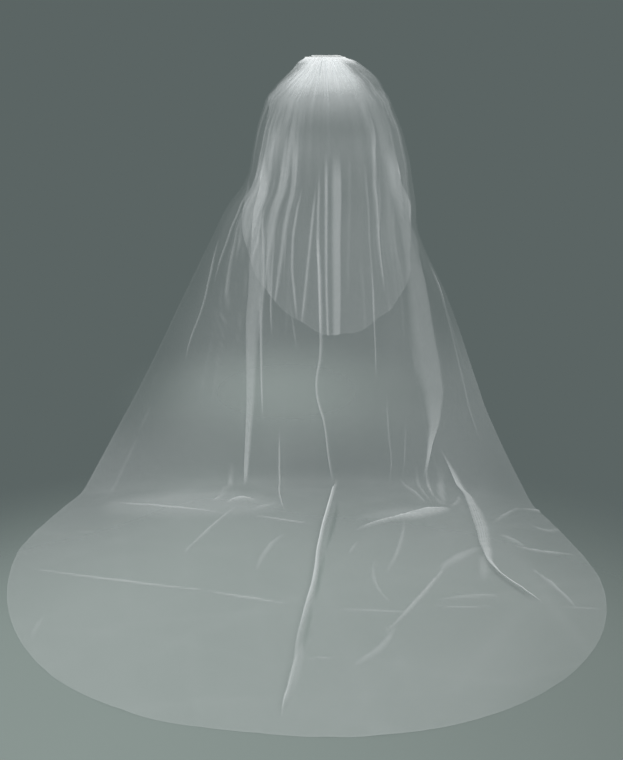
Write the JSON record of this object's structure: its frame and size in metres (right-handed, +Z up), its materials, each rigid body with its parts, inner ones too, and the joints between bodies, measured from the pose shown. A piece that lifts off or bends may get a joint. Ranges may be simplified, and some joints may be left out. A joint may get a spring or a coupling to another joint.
{
  "type": "two-tier cathedral veil",
  "caption": "Plain net cathedral veil in tiers, gathered on a hidden hair comb, with a short upper tier and a long oval train spread on the floor.",
  "frame": {"origin": "middle of the comb's spine, at its top, where it pins into the hair", "axes": "+Z up, +Y the way the wearer faces, -Y along the train, +X to the wearer's right"},
  "size_m": [1.8318, 1.8721, 1.5035],
  "materials": {
    "net": "sheer soft white net, plain cut edge",
    "gathered_net": "dense gathers of the same white net",
    "comb": "plain milky plastic"
  },
  "bodies": {
    "root": {"comb": "comb", "gathered_heading": "gathered_net", "short_tier": "net", "long_tier": "net"}
  },
  "joints": []
}
